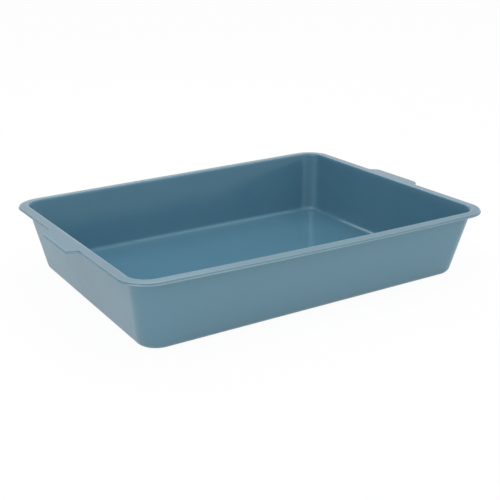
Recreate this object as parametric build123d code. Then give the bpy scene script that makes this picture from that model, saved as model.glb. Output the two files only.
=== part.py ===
"""Open cat litter tray: one thin-walled plastic moulding, kept as its named regions.

X runs along the tray, Y across it and Z up. The origin is the middle of the underside,
so the tray stands on Z = 0. All sizes are in millimetres.
"""
import os
from math import hypot

from build123d import *

# Driving dimensions: the rim
rim_length = 430.0
rim_width = 337.0
tray_height = 76.8
rim_corner_radius = 30.5
flange_reach = 10.0
flange_thickness = 2.0
lip_depth = 0.7
lip_thickness = 1.8
edge_rounding = 1.2

# Driving dimensions: walls and floor
wall_thickness = 2.0
floor_thickness = 2.2
floor_height = 5.4
base_inset_ends = 23.5
base_inset_sides = 26.4
base_corner_radius = 22.0
base_rounding = 7.2
floor_rounding = 5.4
mouth_rounding = 4.0

# Driving dimensions: the foot that the tray stands on, round a recess under the floor
foot_width = 9.0
recess_draft = 1.5
recess_rounding = 0.8

# Driving dimensions: the carrying tabs at the two ends
handle_root_length = 84.0
handle_tip_length = 70.0
handle_reach = 10.0
handle_tip_radius = 4.0
handle_root_radius = 3.0

# Where one region of the moulding ends and the next begins
rim_region_depth = 7.0
floor_region_inset = 11.5
corner_margin = 2.0

# Worked out from the driving dimensions
half_length = rim_length / 2
half_width = rim_width / 2
wall_top_radius = rim_corner_radius - flange_reach
under_rim_rounding = mouth_rounding - wall_thickness
flange_underside = tray_height - flange_thickness
lip_bottom = flange_underside - lip_depth
recess_depth = floor_height - floor_thickness
rim_region_bottom = tray_height - rim_region_depth


def wall_plan(height, inward=0.0):
    """Plan outline of the sloping wall at a height, moved inward from its outer face."""
    share = height / tray_height
    inset_ends = base_inset_ends + (flange_reach - base_inset_ends) * share + inward
    inset_sides = base_inset_sides + (flange_reach - base_inset_sides) * share + inward
    radius = base_corner_radius + (wall_top_radius - base_corner_radius) * share - inward
    outline = RectangleRounded(rim_length - 2 * inset_ends, rim_width - 2 * inset_sides, radius)
    return Plane.XY.offset(height) * outline


def drafted_block(low, inward, rounding):
    """Solid filling the wall outline from a height up to the rim, rounded along its bottom."""
    block = loft([wall_plan(low, inward), wall_plan(tray_height, inward)], ruled=True)
    return fillet(block.edges().group_by(Axis.Z)[0], rounding)


def recess():
    """Hollow under the floor panel, inside the foot."""
    outlines = [wall_plan(0.0, foot_width), wall_plan(recess_depth, foot_width + recess_draft)]
    block = loft(outlines, ruled=True)
    return fillet(block.edges().group_by(Axis.Z)[-1], recess_rounding)


def handle_plan(side):
    """Plan outline of one carrying tab; it overlaps the flange that it grows from."""
    root = side * half_length
    tip = side * (half_length + handle_reach)
    inner = side * (half_length - flange_reach / 2)
    points = [
        (inner, -handle_root_length / 2),
        (root, -handle_root_length / 2),
        (tip, -handle_tip_length / 2),
        (tip, handle_tip_length / 2),
        (root, handle_root_length / 2),
        (inner, handle_root_length / 2),
    ]
    return make_face(Polyline(*points, close=True))


def rim_plan():
    """Plan outline of the rim with both tabs, its corners rounded."""
    outline = RectangleRounded(rim_length, rim_width, rim_corner_radius)
    outline = outline + handle_plan(-1) + handle_plan(1)
    tips = [v for v in outline.vertices() if abs(v.X) > half_length + handle_reach / 2]
    outline = fillet(tips, handle_tip_radius)
    roots = [
        v for v in outline.vertices()
        if abs(abs(v.X) - half_length) < edge_rounding
        and abs(abs(v.Y) - handle_root_length / 2) < edge_rounding
    ]
    return fillet(roots, handle_root_radius)


def flange():
    """Flat rim flange with both tabs and the small lip turned down along its edge."""
    outline = rim_plan()
    plate = extrude(Plane.XY.offset(flange_underside) * outline, flange_thickness)
    edge_strip = outline - offset(outline, -lip_thickness)
    lip = extrude(Plane.XY.offset(lip_bottom) * edge_strip, lip_depth)
    plate = plate + lip
    outer_edges = [
        edge for edge in plate.edges()
        if abs(edge.center().Z - tray_height) < edge_rounding / 2
    ]
    return fillet(outer_edges, edge_rounding)


def rim_inset(point):
    """Distance in plan from the rim's outer edge to a point inside it."""
    over_x = abs(point.X) - (half_length - rim_corner_radius)
    over_y = abs(point.Y) - (half_width - rim_corner_radius)
    if over_x > 0 and over_y > 0:
        return rim_corner_radius - hypot(over_x, over_y)
    return rim_corner_radius - max(over_x, over_y)


def ring_edges(solid, height, inset):
    """Edges that run round the tray at a height and at a distance inside the rim's edge."""
    return [
        edge for edge in solid.edges()
        if abs(edge.position_at(0.5).Z - height) < edge_rounding / 2
        and abs(rim_inset(edge.position_at(0.5)) - inset) < wall_thickness / 2
    ]


def moulding():
    """The whole tray as it leaves the mould."""
    body = drafted_block(0.0, 0.0, base_rounding) + flange()
    body = body - drafted_block(floor_height, wall_thickness, floor_rounding) - recess()
    body = fillet(ring_edges(body, flange_underside, flange_reach), under_rim_rounding)
    mouth = ring_edges(body, tray_height, flange_reach + wall_thickness)
    return fillet(mouth, mouth_rounding)


def slab(low, high, reach_x=rim_length, reach_y=rim_width):
    """Box over the middle of the tray between two heights."""
    box = Box(2 * reach_x, 2 * reach_y, high - low, align=(Align.CENTER, Align.CENTER, Align.MIN))
    return Pos(0, 0, low) * box


def side_wedge(half_span, base_inset, plane, reach):
    """Block that follows one wall between the starts of its two rounded corners."""
    low = half_span - base_inset - base_corner_radius - corner_margin
    high = half_span - rim_corner_radius - corner_margin
    outline = Polyline((-low, 0), (low, 0), (high, tray_height), (-high, tray_height), close=True)
    return extrude(plane * make_face(outline), reach)


def regions():
    """Split the moulding into the regions that a person would name."""
    tray = moulding()
    upper = tray & slab(rim_region_bottom, tray_height + flange_thickness)
    lower = tray & slab(-floor_thickness, rim_region_bottom)

    parts = {"rim_flange": upper & slab(0, 2 * tray_height, half_length)}
    tabs = upper - slab(0, 2 * tray_height, half_length)
    for tab in tabs.solids():
        parts["left_handle" if tab.center().X < 0 else "right_handle"] = tab

    floor_block = extrude(wall_plan(0.0, floor_region_inset), tray_height)
    parts["tray_floor"] = lower & floor_block
    walls = lower - floor_block

    facing = {
        "front_wall": side_wedge(half_length, base_inset_ends, Plane.XZ, half_width),
        "back_wall": side_wedge(half_length, base_inset_ends, Plane.XZ, -half_width),
        "right_wall": side_wedge(half_width, base_inset_sides, Plane.YZ, half_length),
        "left_wall": side_wedge(half_width, base_inset_sides, Plane.YZ, -half_length),
    }
    corners = walls
    for name, wedge in facing.items():
        parts[name] = walls & wedge
        corners = corners - wedge
    for corner in corners.solids():
        along = "left" if corner.center().X < 0 else "right"
        across = "front" if corner.center().Y < 0 else "back"
        parts[f"{across}_{along}_corner"] = corner
    return parts


def main():
    """Write one file for each region."""
    os.makedirs("parts", exist_ok=True)
    for name, shape in regions().items():
        solid = shape.solid()
        print(f"{name}: volume {solid.volume / 1000:.2f} cm3")
        export_step(solid, f"parts/{name}.step")


main()
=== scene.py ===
"""Looks of an open cat litter tray: one seamless moulded shell, standing in a white studio.

Every length is in metres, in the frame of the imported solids: X along the tray, Y across it
and Z up, with the tray standing on Z = 0.
"""

import logging
import math
from collections.abc import Mapping
from dataclasses import dataclass, fields
from enum import Enum, IntEnum
from typing import Any, Self

import bpy
from mathutils import Matrix, Vector


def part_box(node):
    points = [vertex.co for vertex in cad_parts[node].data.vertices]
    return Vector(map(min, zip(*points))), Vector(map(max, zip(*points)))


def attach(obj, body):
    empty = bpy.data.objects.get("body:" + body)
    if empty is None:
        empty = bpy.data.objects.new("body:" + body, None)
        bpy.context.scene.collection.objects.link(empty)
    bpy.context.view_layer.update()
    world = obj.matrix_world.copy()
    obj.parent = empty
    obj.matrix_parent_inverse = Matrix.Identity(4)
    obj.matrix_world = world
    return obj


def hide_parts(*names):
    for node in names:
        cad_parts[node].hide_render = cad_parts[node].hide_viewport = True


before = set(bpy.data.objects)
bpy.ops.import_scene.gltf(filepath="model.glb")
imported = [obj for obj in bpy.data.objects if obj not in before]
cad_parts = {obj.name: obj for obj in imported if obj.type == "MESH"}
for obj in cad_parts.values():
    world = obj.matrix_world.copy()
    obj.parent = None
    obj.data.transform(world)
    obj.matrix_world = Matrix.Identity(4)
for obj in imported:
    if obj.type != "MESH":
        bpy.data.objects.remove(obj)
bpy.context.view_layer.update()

BODY = "root"

Colour = tuple[float, float, float, float]
Key = int | str
log = logging.getLogger("litter_tray")


class Value:
    """A socket of a node tree. Arithmetic on it adds Math nodes to that tree."""

    def __init__(self, tree: "Tree", socket: bpy.types.NodeSocket) -> None:
        """Wrap one output socket of a tree."""
        self.tree = tree
        self.socket = socket

    def output(self, name: str) -> "Value":
        """Another output of the node that this socket belongs to."""
        return Value(self.tree, self.socket.node.outputs[name])

    def math(self, operation: str, *others: "Value | float") -> "Value":
        """A Math node with this value first and the others after it."""
        return self.tree.math(operation, self, *others)

    def __add__(self, other: "Value | float") -> "Value":
        """Sum."""
        return self.math("ADD", other)

    def __sub__(self, other: "Value | float") -> "Value":
        """Difference."""
        return self.math("SUBTRACT", other)

    def __mul__(self, other: "Value | float") -> "Value":
        """Product."""
        return self.math("MULTIPLY", other)

    def __truediv__(self, other: "Value | float") -> "Value":
        """Quotient."""
        return self.math("DIVIDE", other)

    def __radd__(self, other: float) -> "Value":
        """Sum with a plain number first."""
        return self.tree.math("ADD", other, self)

    def __rsub__(self, other: float) -> "Value":
        """Difference with a plain number first."""
        return self.tree.math("SUBTRACT", other, self)

    def __rmul__(self, other: float) -> "Value":
        """Product with a plain number first."""
        return self.tree.math("MULTIPLY", other, self)


class Tree:
    """A node tree that is filled by expressions."""

    def __init__(self, tree: bpy.types.NodeTree) -> None:
        """Start from an empty tree."""
        self.tree = tree
        self.tree.nodes.clear()

    def node(
        self,
        kind: str,
        settings: Mapping[str, Any] | None = None,
        sockets: Mapping[Key, Any] | None = None,
    ) -> Value:
        """Add a node.

        Args:
            kind: Blender's name for the node type.
            settings: the node's own properties; "items" gives an index switch that many inputs.
            sockets: a value or a link for each input, by identifier, name or number.

        Returns:
            The node's first shown output.
        """
        node = self._add(kind, settings or {}, sockets or {})
        return Value(self, next(socket for socket in node.outputs if socket.enabled))

    def end(self, kind: str, sockets: Mapping[Key, Any]) -> None:
        """Add a node that only takes values in, such as an output."""
        self._add(kind, {}, sockets)

    def math(self, operation: str, *values: Value | float) -> Value:
        """Add a Math node.

        Args:
            operation: Blender's name for the operation.
            values: its inputs in order.

        Returns:
            The result.
        """
        return self.node("ShaderNodeMath", {"operation": operation}, dict(enumerate(values)))

    def vector(self, operation: str, *values: Any) -> Value:
        """Add a Vector Math node.

        Args:
            operation: Blender's name for the operation.
            values: its inputs in order.

        Returns:
            The result.
        """
        return self.node("ShaderNodeVectorMath", {"operation": operation}, dict(enumerate(values)))

    def combine(self, x: Value | float, y: Value | float, z: Value | float) -> Value:
        """A vector of three values."""
        return self.node("ShaderNodeCombineXYZ", {}, {"X": x, "Y": y, "Z": z})

    def ease(self, value: Value, start: Any, stop: Any) -> Value:
        """A smooth step that is 0 up to start and 1 from stop on."""
        return self.node(
            "ShaderNodeMapRange",
            {"interpolation_type": "SMOOTHSTEP"},
            {"Value": value, "From Min": start, "From Max": stop},
        )

    def clamp(self, value: Value, low: float, high: float) -> Value:
        """The value held between two limits."""
        return self.node("ShaderNodeClamp", {}, {"Value": value, "Min": low, "Max": high})

    def tint(self, factor: Value | float, first: Any, second: Any) -> Value:
        """Mix two colours.

        Args:
            factor: share of the second colour.
            first: the colour at 0.
            second: the colour at 1.

        Returns:
            The mixed colour.
        """
        return self.node(
            "ShaderNodeMix",
            {"data_type": "RGBA"},
            {"Factor_Float": factor, "A_Color": first, "B_Color": second},
        )

    def _add(
        self, kind: str, settings: Mapping[str, Any], sockets: Mapping[Key, Any]
    ) -> bpy.types.Node:
        """Add a node, set it and feed it.

        Args:
            kind: Blender's name for the node type.
            settings: the node's own properties.
            sockets: a value or a link for each input.

        Returns:
            The new node.
        """
        node = self.tree.nodes.new(kind)
        for name, value in settings.items():
            if name == "items":
                while len(node.index_switch_items) < value:
                    node.index_switch_items.new()
            else:
                setattr(node, name, value)
        for key, value in sockets.items():
            self._feed(self._find(node, key), value)
        return node

    @staticmethod
    def _find(node: bpy.types.Node, key: Key) -> bpy.types.NodeSocket:
        """Look up one input of a node.

        Args:
            node: the node to look in.
            key: the input's number, identifier or name.

        Returns:
            The input socket.
        """
        if isinstance(key, int):
            return node.inputs[key]
        for socket in node.inputs:
            if socket.identifier == key:
                return socket
        return node.inputs[key]

    def _feed(self, socket: bpy.types.NodeSocket, value: Any) -> None:
        """Link a value to an input, or set it there.

        Args:
            socket: the input.
            value: another node's output, or a plain value.
        """
        if isinstance(value, Value):
            self.tree.links.new(value.socket, socket)
        else:
            socket.default_value = value


@dataclass(frozen=True)
class SatinPlastic:
    """Dusty steel-blue polypropylene: glossy inside, with a paler satin skin outside."""

    inner: Colour = (0.084, 0.207, 0.296, 1.0)
    outer: Colour = (0.149, 0.284, 0.371, 1.0)
    # rim top's tone: painted shade with a painted sheen, darker and greyer than the outer skin
    rim: Colour = (0.158, 0.255, 0.325, 1.0)
    pale: Colour = (0.155, 0.300, 0.390, 1.0)
    # pale edge colour: rubbed wear and scuffs, partly a painted highlight along the rim's edges
    rubbed_and_highlight: Colour = (0.230, 0.370, 0.450, 1.0)
    # colour of the moulded specks, also used for the painted shade along the base edge
    speck_and_shade: Colour = (0.030, 0.070, 0.100, 1.0)
    reflection: Colour = (0.7, 1.0, 1.0, 1.0)
    ior: float = 1.5
    inner_roughness: float = 0.10
    rim_roughness: float = 0.22
    outer_roughness: float = 0.32
    haze_roughness: float = 0.06
    scuff_roughness: float = 0.12
    wear_and_highlight_roughness: float = 0.04
    cloud_scale: float = 9.0
    cloud_depth: float = 0.3
    haze_scale: float = 45.0
    haze_depth: float = 0.15
    clear_depth: float = 0.15
    wear_and_highlight_depth: float = 0.5
    wear_and_highlight_haze: float = 0.6
    scuff_scale: float = 70.0
    scuff_stretch: tuple[float, float, float] = (0.22, 1.0, 2.6)
    scuff_edge: tuple[float, float] = (0.62, 0.74)
    scuff_depth: float = 0.22
    scuffs_kept_off_inside: float = 0.7
    patch_scale: float = 18.0
    patch_edge: tuple[float, float] = (0.45, 0.7)
    speck_scale: float = 38.0
    speck_rarity: float = 0.93
    speck_edge: tuple[float, float] = (0.012, 0.028)
    speck_depth: float = 0.8
    dark_kept_off_inside: float = 0.2
    # painted shade along the base edge: how high it reaches and how dark it is
    base_shade_height: float = 0.004
    base_shade_depth: float = 0.25
    ripple_scale: float = 26.0
    ripple_depth: float = 0.00012
    grain_scale: float = 1400.0
    grain_depth: float = 0.00003

    def material(self) -> bpy.types.Material:
        """Make the finish.

        Returns:
            A material that reads object coordinates and the shell's own attributes.
        """
        made = bpy.data.materials.new("satin_blue_plastic")
        made.use_nodes = True
        tree = Tree(made.node_tree)
        place = tree.node("ShaderNodeTexCoord").output("Object")
        cloud = self._noise(tree, place, self.cloud_scale, 3.0)
        haze = self._noise(tree, place, self.haze_scale, 5.0)
        wear, inside, rim = (
            tree.node("ShaderNodeAttribute", {"attribute_name": name}).output("Fac")
            for name in ("wear", "inside", "rim")
        )
        scuffs = self._scuffs(tree, place) * (1.0 - inside * self.scuffs_kept_off_inside)

        # the rim takes its painted tone, darker and greyer for painted shade and sheen
        colour = tree.tint(rim, tree.tint(inside, self.outer, self.inner), self.rim)
        faded = cloud * self.cloud_depth + haze * self.haze_depth - self.clear_depth
        colour = tree.tint(faded, colour, self.pale)
        # pale rim edges, partly rubbed wear and partly painted highlight, and the scuffs
        worn_and_highlight = wear * (haze * self.wear_and_highlight_haze + self.wear_and_highlight_depth) + scuffs * self.scuff_depth
        colour = tree.tint(worn_and_highlight, colour, self.rubbed_and_highlight)
        specks = self._specks(tree, place) * self.speck_depth
        # darken by the specks and by the painted shade along the base edge
        dark = specks.math("MAXIMUM", self._painted_base_shade(tree, place))
        dark = dark * (1.0 - inside * self.dark_kept_off_inside)
        colour = tree.tint(dark, colour, self.speck_and_shade)

        rough = self.outer_roughness + inside * (self.inner_roughness - self.outer_roughness)
        rough = rough + rim * (self.rim_roughness - self.outer_roughness)
        rough = rough + (haze - 0.5) * self.haze_roughness
        rough = rough + scuffs * self.scuff_roughness + wear * self.wear_and_highlight_roughness
        shader = tree.node(
            "ShaderNodeBsdfPrincipled",
            {},
            {
                "Base Color": colour,
                "Roughness": rough,
                "IOR": self.ior,
                "Specular Tint": self.reflection,
                "Normal": self._skin(tree, place),
            },
        )
        tree.end("ShaderNodeOutputMaterial", {"Surface": shader})
        return made

    @staticmethod
    def _noise(tree: Tree, place: Value, scale: float, detail: float) -> Value:
        """Noise from 0 to 1 at a scale in cells per metre."""
        return tree.node(
            "ShaderNodeTexNoise", {}, {"Vector": place, "Scale": scale, "Detail": detail}
        )

    def _scuffs(self, tree: Tree, place: Value) -> Value:
        """Faint short rubs left by stacking and cleaning.

        Args:
            tree: the tree to add to.
            place: object coordinates.

        Returns:
            1 on a rub and 0 off it.
        """
        drawn = tree.node(
            "ShaderNodeMapping", {}, {"Vector": place, "Scale": self.scuff_stretch}
        )
        streak = self._noise(tree, drawn, self.scuff_scale, 6.0)
        patch = self._noise(tree, place, self.patch_scale, 2.0)
        return tree.ease(streak, *self.scuff_edge) * tree.ease(patch, *self.patch_edge)

    def _specks(self, tree: Tree, place: Value) -> Value:
        """A few tiny dark specks moulded into the plastic.

        Args:
            tree: the tree to add to.
            place: object coordinates.

        Returns:
            1 on a speck and 0 off it.
        """
        cell = tree.node(
            "ShaderNodeTexVoronoi", {}, {"Vector": place, "Scale": self.speck_scale}
        )
        chance = tree.node("ShaderNodeSeparateColor", {}, {"Color": cell.output("Color")})
        rare = tree.math("GREATER_THAN", chance, self.speck_rarity)
        return rare * (1.0 - tree.ease(cell.output("Distance"), *self.speck_edge))

    def _painted_base_shade(self, tree: Tree, place: Value) -> Value:
        """Painted shade: darkening along the edge that the tray stands on, for the contact shadow
        there.
        """
        up = tree.node("ShaderNodeSeparateXYZ", {}, {0: place}).output("Z")
        return (1.0 - tree.ease(up, 0.0, self.base_shade_height)) * self.base_shade_depth

    def _skin(self, tree: Tree, place: Value) -> Value:
        """Fine moulded grain over slow ripples of the thin wall.

        Args:
            tree: the tree to add to.
            place: object coordinates.

        Returns:
            The bent normal.
        """
        ripple = self._noise(tree, place, self.ripple_scale, 2.0)
        grain = self._noise(tree, place, self.grain_scale, 2.0)
        slow = tree.node(
            "ShaderNodeBump", {}, {"Strength": 1.0, "Distance": self.ripple_depth, "Height": ripple}
        )
        return tree.node(
            "ShaderNodeBump",
            {},
            {"Strength": 1.0, "Distance": self.grain_depth, "Height": grain, "Normal": slow},
        )


class SectionCorner(IntEnum):
    """Corners of the wall's cross-section, from the middle of the floor round to the underside."""

    FLOOR_MIDDLE = 0
    FLOOR_EDGE = 1
    MOUTH = 2
    TOP_EDGE = 3
    STEP_FOOT = 4
    BEAD_EDGE = 5
    BEAD_BOTTOM = 6
    LIP_INSIDE = 7
    LIP_ROOT = 8
    UNDER_RIM = 9
    BASE_EDGE = 10
    FOOT_EDGE = 11
    RECESS_EDGE = 12
    RECESS_MIDDLE = 13


@dataclass
class TrayShell:
    """The whole moulding as one skin, drawn by carrying its section round the rim."""

    rim_length: float
    rim_width: float
    tray_height: float
    floor_thickness: float
    floor_height: float
    handle_reach: float
    rim_corner_radius: float = 0.0305
    flange_reach: float = 0.010
    flange_thickness: float = 0.002
    flange_fall: float = 0.0009
    lip_depth: float = 0.0007
    lip_thickness: float = 0.0018
    edge_rounding: float = 0.0005
    step_inset: float = 0.0012
    step_height: float = 0.0013
    bead_slope: float = 0.0007
    wall_thickness: float = 0.002
    base_inset_ends: float = 0.0235
    base_inset_sides: float = 0.0264
    base_corner_radius: float = 0.022
    base_rounding: float = 0.0072
    floor_rounding: float = 0.0054
    mouth_rounding: float = 0.004
    foot_width: float = 0.009
    recess_draft: float = 0.0015
    recess_rounding: float = 0.0008
    handle_root_length: float = 0.084
    handle_tip_length: float = 0.070
    handle_shift: float = 0.0025
    left_droop: float = 0.0014
    right_droop: float = 0.0006
    handle_softness: float = 0.003
    rim_lift: float = 0.0008
    rim_twist: float = 0.0022
    rim_sag: float = 0.0023

    corner_steps = 16
    bend_steps = 9
    under_rim_steps = 6
    edge_steps = 4
    lip_steps = 3
    crease_steps = 2
    step_foot_share = 0.3
    bead_bottom_share = 0.8
    lip_inside_share = 0.6
    lip_root_share = 0.4
    lip_margin = 1.5
    run_spacing = 0.009
    fine_spacing = 0.00125
    merge_distance = 0.00001

    @classmethod
    def from_frame(cls) -> Self:
        """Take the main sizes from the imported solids.

        Returns:
            A shell that fits the solids.
        """
        rim_low, rim_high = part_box("rim_flange")
        wall_low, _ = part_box("front_wall")
        floor_low, floor_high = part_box("tray_floor")
        tab_low, tab_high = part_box("right_handle")
        return cls(
            rim_length=rim_high.x - rim_low.x,
            rim_width=rim_high.y - rim_low.y,
            tray_height=rim_high.z - wall_low.z,
            floor_thickness=floor_high.z - floor_low.z,
            floor_height=floor_high.z - wall_low.z,
            handle_reach=tab_high.x - tab_low.x,
        )

    def build(self, finish: SatinPlastic) -> bpy.types.Object:
        """Make the shell and hand it to the frame.

        Args:
            finish: the plastic that the shell is made of.

        Returns:
            The finished piece.
        """
        shell = bpy.data.objects.new("tray_shell", bpy.data.meshes.new("tray_shell"))
        bpy.context.scene.collection.objects.link(shell)
        modifier = shell.modifiers.new("moulding", "NODES")
        modifier.node_group = self._tree(finish.material())
        for item in modifier.node_group.interface.items_tree:
            if item.in_out == "INPUT" and item.name != "Geometry":
                modifier[item.identifier] = getattr(self, item.name)
        self._keep_mesh(shell)
        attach(shell, BODY)
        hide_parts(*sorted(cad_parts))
        return shell

    @staticmethod
    def _keep_mesh(shell: bpy.types.Object) -> None:
        """Turn the grown shape into a plain mesh.

        Args:
            shell: the object whose modifier draws the shape.
        """
        graph = bpy.context.evaluated_depsgraph_get()
        mesh = bpy.data.meshes.new_from_object(shell.evaluated_get(graph), depsgraph=graph)
        shell.modifiers.clear()
        shell.data = mesh

    def _tree(self, material: bpy.types.Material) -> bpy.types.NodeTree:
        """Write the rule of the moulding as a node tree.

        Args:
            material: what the shell is covered with.

        Returns:
            The tree, with one named input for each size.
        """
        group = bpy.data.node_groups.new("tray_moulding", "GeometryNodeTree")
        names = [field.name for field in fields(self)]
        for name in names:
            group.interface.new_socket(name, in_out="INPUT", socket_type="NodeSocketFloat")
        group.interface.new_socket("Geometry", in_out="OUTPUT", socket_type="NodeSocketGeometry")
        tree = Tree(group)
        given = tree.node("NodeGroupInput")
        size = {name: given.output(name) for name in names}

        swept = tree.node(
            "GeometryNodeCurveToMesh",
            {},
            {"Curve": self._rim_path(tree, size), "Profile Curve": self._section(tree, size)},
        )
        placed = self._place(tree, size, swept)
        merged = tree.node(
            "GeometryNodeMergeByDistance",
            {},
            {"Geometry": placed, "Distance": self.merge_distance},
        )
        smooth = tree.node("GeometryNodeSetShadeSmooth", {}, {"Geometry": merged})
        real = tree.node("GeometryNodeRealizeInstances", {}, {"Geometry": smooth})
        covered = tree.node(
            "GeometryNodeSetMaterial", {}, {"Geometry": real, "Material": material}
        )
        tree.end("NodeGroupOutput", {"Geometry": covered})
        return group

    @staticmethod
    def _keep(tree: Tree, geometry: Value, name: str, value: Value, kind: str) -> Value:
        """Store a value on every point under a name."""
        return tree.node(
            "GeometryNodeStoreNamedAttribute",
            {"data_type": kind, "domain": "POINT"},
            {"Geometry": geometry, "Name": name, "Value": value},
        )

    @staticmethod
    def _recall(tree: Tree, name: str) -> tuple[Value, Value]:
        """Read back a stored vector.

        Args:
            tree: the tree to add to.
            name: what the vector is stored under.

        Returns:
            Its first two components.
        """
        stored = tree.node(
            "GeometryNodeInputNamedAttribute", {"data_type": "FLOAT_VECTOR"}, {"Name": name}
        )
        parts = tree.node("ShaderNodeSeparateXYZ", {}, {"Vector": stored})
        return parts.output("X"), parts.output("Y")

    @staticmethod
    def _divided(tree: Tree, curve: Value, spacing: Value) -> Value:
        """Add points along the straight runs of a curve.

        Args:
            tree: the tree to add to.
            curve: the curve.
            spacing: about how far apart the points are.

        Returns:
            The divided curve.
        """
        here = tree.node("GeometryNodeInputPosition")
        index = tree.node("GeometryNodeInputIndex")
        following = tree.node(
            "GeometryNodeOffsetPointInCurve", {}, {"Point Index": index, "Offset": 1}
        )
        there = tree.node(
            "GeometryNodeFieldAtIndex",
            {"data_type": "FLOAT_VECTOR", "domain": "POINT"},
            {"Value": here, "Index": following.output("Point Index")},
        )
        length = tree.vector("DISTANCE", here, there)
        cuts = (length / spacing).math("FLOOR")
        return tree.node("GeometryNodeSubdivideCurve", {}, {"Curve": curve, "Cuts": cuts})

    def _rim_path(self, tree: Tree, size: Mapping[str, Value]) -> Value:
        """The rim's outline in plan.

        Args:
            tree: the tree to add to.
            size: the tree's named inputs.

        Returns:
            A closed curve. Each point keeps its share of the straight core ("core") and the
            way out from it ("out"), so that the outline can be redrawn at any inset.
        """
        radius = size["rim_corner_radius"]
        square = tree.node(
            "GeometryNodeCurvePrimitiveQuadrilateral",
            {"mode": "RECTANGLE"},
            {"Width": size["rim_length"], "Height": size["rim_width"]},
        )
        rounded = tree.node(
            "GeometryNodeFilletCurve",
            {"mode": "POLY"},
            {"Curve": square, "Count": self.corner_steps, "Radius": radius},
        )
        at = tree.node("ShaderNodeSeparateXYZ", {}, {0: tree.node("GeometryNodeInputPosition")})
        core_x = size["rim_length"] * 0.5 - radius
        core_y = size["rim_width"] * 0.5 - radius
        on_end = tree.math("GREATER_THAN", at.output("X").math("ABSOLUTE"), core_x)
        spacing = self.run_spacing + on_end * (self.fine_spacing - self.run_spacing)
        path = self._divided(tree, rounded, spacing)

        share_x = tree.clamp(at.output("X") / core_x, -1.0, 1.0)
        share_y = tree.clamp(at.output("Y") / core_y, -1.0, 1.0)
        out_x = (at.output("X") - share_x * core_x) / radius
        out_y = (at.output("Y") - share_y * core_y) / radius
        path = self._keep(tree, path, "core", tree.combine(share_x, share_y, 0.0), "FLOAT_VECTOR")
        return self._keep(tree, path, "out", tree.combine(out_x, out_y, 0.0), "FLOAT_VECTOR")

    def _corners(self, size: Mapping[str, Value]) -> dict[SectionCorner, tuple[Any, ...]]:
        """Lay out the cross-section.

        Args:
            size: the tree's named inputs.

        Returns:
            Inset from the rim, height, rounding and rounding steps at each corner.
        """
        height = size["tray_height"]
        foot = size["base_inset_ends"]
        slope = (foot - size["flange_reach"]) / height
        underside = height - size["flange_thickness"]
        lip_bottom = underside - size["lip_depth"]
        step = size["step_inset"]
        step_foot = height - size["step_height"]
        bead_edge = step_foot - size["bead_slope"]
        floor = size["floor_height"]
        recess = floor - size["floor_thickness"]
        wall = size["wall_thickness"]
        lip = size["lip_thickness"]
        middle = size["rim_width"] * 0.5
        edge = size["edge_rounding"]
        inner_foot = foot + wall - slope * floor
        foot_edge = foot + size["foot_width"]
        recess_edge = foot_edge + size["recess_draft"] - slope * recess
        inner_top = size["flange_reach"] + wall
        outer_top = size["flange_reach"] + slope * size["flange_thickness"]
        return {
            SectionCorner.FLOOR_MIDDLE: (middle, floor, 0.0, 1),
            SectionCorner.FLOOR_EDGE: (inner_foot, floor, size["floor_rounding"], self.bend_steps),
            SectionCorner.MOUTH: (inner_top, height, size["mouth_rounding"], self.bend_steps),
            SectionCorner.TOP_EDGE: (step, height, edge, self.edge_steps),
            SectionCorner.STEP_FOOT: (
                step, step_foot, edge * self.step_foot_share, self.crease_steps
            ),
            SectionCorner.BEAD_EDGE: (0.0, bead_edge, edge, self.edge_steps),
            SectionCorner.BEAD_BOTTOM: (
                0.0, lip_bottom, edge * self.bead_bottom_share, self.lip_steps
            ),
            SectionCorner.LIP_INSIDE: (
                lip, lip_bottom, edge * self.lip_inside_share, self.lip_steps
            ),
            SectionCorner.LIP_ROOT: (
                lip, underside, edge * self.lip_root_share, self.crease_steps
            ),
            SectionCorner.UNDER_RIM: (
                outer_top, underside, size["mouth_rounding"] - wall, self.under_rim_steps
            ),
            SectionCorner.BASE_EDGE: (foot, 0.0, size["base_rounding"], self.bend_steps),
            SectionCorner.FOOT_EDGE: (foot_edge, 0.0, edge, self.lip_steps),
            SectionCorner.RECESS_EDGE: (
                recess_edge, recess, size["recess_rounding"], self.lip_steps
            ),
            SectionCorner.RECESS_MIDDLE: (middle, recess, 0.0, 1),
        }

    def _section(self, tree: Tree, size: Mapping[str, Value]) -> Value:
        """The wall's cross-section.

        Args:
            tree: the tree to add to.
            size: the tree's named inputs.

        Returns:
            An open curve whose points keep their inset and height as "section".
        """
        corners = self._corners(size)
        index = tree.node("GeometryNodeInputIndex")

        def by_corner(kind: str, values: list[Any]) -> Value:
            """Pick a value by corner.

            Args:
                kind: Blender's name for the type of the values.
                values: one for each corner in turn.

            Returns:
                The value that belongs to the corner at hand.
            """
            sockets = {f"Item_{number}": value for number, value in enumerate(values)}
            return tree.node(
                "GeometryNodeIndexSwitch",
                {"data_type": kind, "items": len(values)},
                {"Index": index, **sockets},
            )

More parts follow.
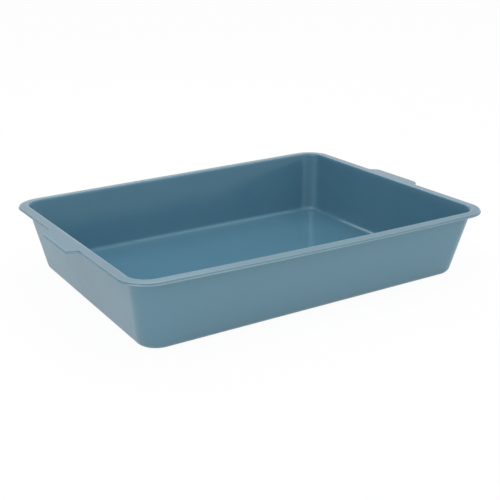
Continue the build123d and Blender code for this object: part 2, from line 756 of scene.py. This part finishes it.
        points = [tree.combine(inset, height, 0.0) for inset, height, _, _ in corners.values()]
        line = tree.node("GeometryNodeMeshLine", {}, {"Count": len(corners)})
        line = tree.node("GeometryNodeMeshToCurve", {}, {"Mesh": line})
        line = tree.node(
            "GeometryNodeSetPosition",
            {},
            {"Geometry": line, "Position": by_corner("VECTOR", points)},
        )
        line = tree.node(
            "GeometryNodeFilletCurve",
            {"mode": "POLY"},
            {
                "Curve": line,
                "Count": by_corner("INT", [steps for _, _, _, steps in corners.values()]),
                "Radius": by_corner("FLOAT", [rounding for _, _, rounding, _ in corners.values()]),
            },
        )
        place = tree.node("GeometryNodeInputPosition")
        up = tree.node("ShaderNodeSeparateXYZ", {}, {0: place}).output("Y")
        on_flange = tree.math("GREATER_THAN", up, self._below_lip(size))
        spacing = self.run_spacing + on_flange * (self.fine_spacing - self.run_spacing)
        line = self._divided(tree, line, spacing)
        return self._keep(tree, line, "section", place, "FLOAT_VECTOR")

    def _below_lip(self, size: Mapping[str, Value]) -> Value:
        """A height that the whole rim is above, a little below its lip."""
        underside = size["tray_height"] - size["flange_thickness"]
        return underside - size["lip_depth"] * self.lip_margin

    def _place(self, tree: Tree, size: Mapping[str, Value], swept: Value) -> Value:
        """Put every point of the swept section where the moulding has it.

        Args:
            tree: the tree to add to.
            size: the tree's named inputs.
            swept: the section carried round the rim.

        Returns:
            The shaped skin. Each point keeps whether it is on the inside or the rim, and its
            edge wear with painted highlight, as "inside", "rim" and the wear-and-highlight
            attribute.
        """
        core_x, core_y = self._recall(tree, "core")
        out_x, out_y = self._recall(tree, "out")
        inset, height = self._recall(tree, "section")
        share = height / size["tray_height"]
        foot = size["base_inset_ends"]
        fuller = size["base_corner_radius"] - (size["rim_corner_radius"] - foot)
        radius = size["rim_corner_radius"] - inset + fuller * (1.0 - share)
        radius = radius.math("MAXIMUM", 0.0)
        lean = (size["base_inset_sides"] - foot) * (1.0 - share)
        core_y = core_y * (size["rim_width"] * 0.5 - inset - radius - lean).math("MAXIMUM", 0.0)
        x = core_x * (size["rim_length"] * 0.5 - inset - radius) + out_x * radius
        y = core_y + out_y * radius

        side = x.math("SIGN")
        push = self._tab_push(tree, size, side, y, inset)
        x = x + side * push
        on_right = tree.math("GREATER_THAN", x, 0.0)
        droop = size["left_droop"] + on_right * (size["right_droop"] - size["left_droop"])
        drop = push / size["handle_reach"] * droop
        outward = (1.0 - inset / size["flange_reach"]).math("MAXIMUM", 0.0)
        drop = drop + outward * size["flange_fall"]
        along = x / (size["rim_length"] * 0.5)
        across = y / (size["rim_width"] * 0.5)
        sag = (1.0 - along * along).math("MAXIMUM", 0.0) * across.math("POWER", 4.0)
        sag = sag * tree.math("LESS_THAN", across, 0.0)
        warp = size["rim_lift"] + along * across * size["rim_twist"] - sag * size["rim_sag"]
        placed = tree.node(
            "GeometryNodeSetPosition",
            {},
            {"Geometry": swept, "Position": tree.combine(x, y, height - drop + warp * share)},
        )
        inside = self._inside(tree, size, inset, height)
        placed = self._keep(tree, placed, "inside", inside, "FLOAT")
        rim = tree.math("GREATER_THAN", height, self._below_lip(size)) * (1.0 - inside)
        placed = self._keep(tree, placed, "rim", rim, "FLOAT")
        return self._keep(tree, placed, "wear", self._wear_and_highlight(tree, size, inset, height), "FLOAT")

    @staticmethod
    def _tab_push(
        tree: Tree, size: Mapping[str, Value], side: Value, y: Value, inset: Value
    ) -> Value:
        """Draw a carrying tab out of the rim's edge.

        Args:
            tree: the tree to add to.
            size: the tree's named inputs.
            side: -1 at the left end and 1 at the right.
            y: place across the tray.
            inset: distance inside the rim's edge.

        Returns:
            How far each point moves outward.
        """
        root = size["handle_root_length"] * 0.5
        tip = size["handle_tip_length"] * 0.5
        soft = size["handle_softness"]
        along = (y - side * size["handle_shift"]).math("ABSOLUTE")
        rise = (root - along) / (root - tip) * size["handle_reach"]
        rise = tree.math("SMOOTH_MIN", rise, size["handle_reach"], soft)
        rise = tree.math("SMOOTH_MAX", rise, 0.0, soft).math("MAXIMUM", 0.0)
        kept = (size["flange_reach"] - inset) / (size["flange_reach"] - size["lip_thickness"])
        return rise * tree.clamp(kept, 0.0, 1.0)

    @staticmethod
    def _inside(tree: Tree, size: Mapping[str, Value], inset: Value, height: Value) -> Value:
        """Tell the skin that faces the litter from the rest.

        Args:
            tree: the tree to add to.
            size: the tree's named inputs.
            inset: distance inside the rim's edge.
            height: height above the ground.

        Returns:
            1 on that skin, and 0 on the rim and the outside.
        """
        reach = size["flange_reach"]
        depth = size["tray_height"] - height
        slope = (size["base_inset_ends"] - reach) / size["tray_height"]
        middle = reach + size["wall_thickness"] * 0.5 + slope * depth
        panel = size["floor_height"] - size["floor_thickness"] * 0.5
        above = tree.math("GREATER_THAN", height, panel)
        return above * tree.math("GREATER_THAN", inset, middle)

    @staticmethod
    def _wear_and_highlight(tree: Tree, size: Mapping[str, Value], inset: Value, height: Value) -> Value:
        """Mark the rim's three edges for pale wear, partly a painted highlight.

        Args:
            tree: the tree to add to.
            size: the tree's named inputs.
            inset: distance inside the rim's edge.
            height: height above the ground.

        Returns:
            1 on those edges and 0 a bead's width from them.
        """
        place = tree.combine(inset, size["tray_height"] - height, 0.0)
        edges = (
            tree.combine(size["flange_reach"], 0.0, 0.0),
            tree.combine(size["step_inset"], 0.0, 0.0),
            tree.combine(0.0, size["step_height"] + size["bead_slope"], 0.0),
        )
        mouth, top, bead = (tree.vector("DISTANCE", place, edge) for edge in edges)
        away = mouth.math("MINIMUM", top).math("MINIMUM", bead)
        return (1.0 - away / size["step_inset"]).math("MAXIMUM", 0.0)


@dataclass(frozen=True)
class SoftBox:
    """Place of a lamp round the tray in degrees, its size in metres and its radiance."""

    azimuth: float
    elevation: float
    width: float
    height: float
    radiance: float
    distance: float = 2.0


class Lamp(Enum):
    """The studio's soft boxes."""

    KEY = SoftBox(azimuth=-82.0, elevation=58.0, width=1.4, height=0.45, radiance=3.85)
    REAR = SoftBox(azimuth=168.0, elevation=45.0, width=1.1, height=0.36, radiance=1.86)
    FRONT = SoftBox(azimuth=66.0, elevation=60.0, width=1.0, height=0.2, radiance=2.0)


@dataclass(frozen=True)
class Shade:
    """Middle of a dark patch of the dome in degrees, and the cosine of its edge's angle."""

    azimuth: float
    elevation: float
    edge_cosine: float


class Flag(Enum):
    """The studio's black flags."""

    BEHIND_LEFT = Shade(azimuth=-133.0, elevation=33.0, edge_cosine=0.75)
    UNDER_CAMERA = Shade(azimuth=-39.0, elevation=-18.0, edge_cosine=0.55)


@dataclass
class Studio:
    """White sweep, soft light and the camera of the product picture."""

    azimuth: float = -30.939
    elevation: float = 19.4
    roll: float = -1.05
    distance: float = 0.96435
    target: tuple[float, float, float] = (-0.0191, -0.04197, 0.03838)
    picture_width: float = 500.0
    focal_pixels: float = 884.0
    sensor: float = 36.0
    floor_half: float = 12.0
    floor_gap: float = 0.0002
    floor_white: Colour = (0.92, 0.92, 0.92, 1.0)
    own_white: float = 0.95
    white: Colour = (1.0, 1.0, 1.0, 1.0)
    watts_per_radiance: float = 4.0
    horizon_light: float = 0.73
    zenith_light: float = 0.986

    def build(self) -> None:
        """Set up the view, the floor, the sky and the lamps."""
        bpy.context.scene.view_settings.view_transform = "Standard"
        self._camera()
        self._floor()
        self._world()
        for lamp in Lamp:
            self._lamp(lamp)

    @staticmethod
    def _toward(azimuth: float, elevation: float) -> Vector:
        """Turn two angles into a direction.

        Args:
            azimuth: degrees round from the front, to the right.
            elevation: degrees up.

        Returns:
            A unit vector from the tray.
        """
        turn, rise = math.radians(azimuth), math.radians(elevation)
        level = math.cos(rise)
        return Vector((math.sin(turn) * level, -math.cos(turn) * level, math.sin(rise)))

    def _camera(self) -> None:
        """The picture's own viewpoint."""
        lens = bpy.data.cameras.new("product_camera")
        lens.sensor_width = self.sensor
        lens.lens = self.focal_pixels / self.picture_width * self.sensor
        camera = bpy.data.objects.new("product_camera", lens)
        back = self._toward(self.azimuth, self.elevation)
        side = math.radians(self.azimuth)
        right = Vector((math.cos(side), math.sin(side), 0.0))
        up = back.cross(right)
        turn = math.radians(self.roll)
        level = right * math.cos(turn) + up * math.sin(turn)
        upright = up * math.cos(turn) - right * math.sin(turn)
        place = Vector(self.target) + back * self.distance
        turned = Matrix((level, upright, back)).transposed().to_4x4()
        camera.matrix_world = Matrix.Translation(place) @ turned
        bpy.context.scene.collection.objects.link(camera)
        bpy.context.scene.camera = camera

    def _floor(self) -> None:
        """Plain white floor, a hair below the tray."""
        reach, low = self.floor_half, -self.floor_gap
        mesh = bpy.data.meshes.new("studio_floor")
        signs = [(-1, -1), (1, -1), (1, 1), (-1, 1)]
        mesh.from_pydata([(x * reach, y * reach, low) for x, y in signs], [], [(0, 1, 2, 3)])
        floor = bpy.data.objects.new("studio_floor", mesh)
        bpy.context.scene.collection.objects.link(floor)
        mesh.materials.append(self._floor_paint())

    @staticmethod
    def _seen(tree: Tree) -> Value:
        """Tell the looks that show the studio's white from the light that falls on things.

        Args:
            tree: the tree to add to.

        Returns:
            1 where a camera, mirror or glass looks straight at the white.
        """
        path = tree.node("ShaderNodeLightPath")
        seen = path.output("Is Camera Ray") + path.output("Is Glossy Ray")
        return (seen + path.output("Is Transmission Ray")).math("MINIMUM", 1.0)

    def _floor_paint(self) -> bpy.types.Material:
        """White that keeps a soft shadow of the tray.

        Returns:
            The floor's material.
        """
        paint = bpy.data.materials.new("studio_white")
        paint.use_nodes = True
        tree = Tree(paint.node_tree)
        matt = tree.node("ShaderNodeBsdfDiffuse", {}, {"Color": self.floor_white})
        glow = tree.node("ShaderNodeEmission", {}, {"Strength": 1.0})
        mixed = tree.node(
            "ShaderNodeMixShader", {}, {0: self._seen(tree) * self.own_white, 1: matt, 2: glow}
        )
        tree.end("ShaderNodeOutputMaterial", {"Surface": mixed})
        return paint

    def _world(self) -> None:
        """Soft dome, brightest overhead, less what the flags hold back."""
        world = bpy.data.worlds.new("studio_world")
        bpy.context.scene.world = world
        world.use_nodes = True
        tree = Tree(world.node_tree)
        way = tree.node("ShaderNodeTexCoord").output("Generated")
        rise = tree.node("ShaderNodeSeparateXYZ", {}, {0: way}).output("Z")
        dome = self.horizon_light + rise * (self.zenith_light - self.horizon_light)
        for flag in Flag:
            shade = flag.value
            middle = self._toward(shade.azimuth, shade.elevation)
            facing = tree.vector("DOT_PRODUCT", way, tuple(middle))
            dome = dome * (1.0 - tree.ease(facing, shade.edge_cosine, 1.0))
        sky = tree.node("ShaderNodeBackground", {}, {"Color": self.white, "Strength": dome})
        tree.end("ShaderNodeOutputWorld", {"Surface": sky})

    def _lamp(self, lamp: Lamp) -> None:
        """Set up one soft box that points at the tray.

        Args:
            lamp: which of them.
        """
        box = lamp.value
        light = bpy.data.lights.new(f"softbox_{lamp.name.lower()}", "AREA")
        light.shape = "RECTANGLE"
        light.size = box.width
        light.size_y = box.height
        light.energy = box.radiance * box.width * box.height * self.watts_per_radiance
        holder = bpy.data.objects.new(light.name, light)
        toward = self._toward(box.azimuth, box.elevation)
        holder.location = toward * box.distance
        holder.rotation_mode = "QUATERNION"
        holder.rotation_quaternion = toward.to_track_quat("Z", "Y")
        bpy.context.scene.collection.objects.link(holder)


def main() -> None:
    """Build the tray and its studio, and report each piece."""
    logging.basicConfig(level=logging.INFO)
    shell = TrayShell.from_frame().build(SatinPlastic())
    log.info("%s: %d faces", shell.name, len(shell.data.polygons))
    Studio().build()


if __name__ == "__main__":
    main()
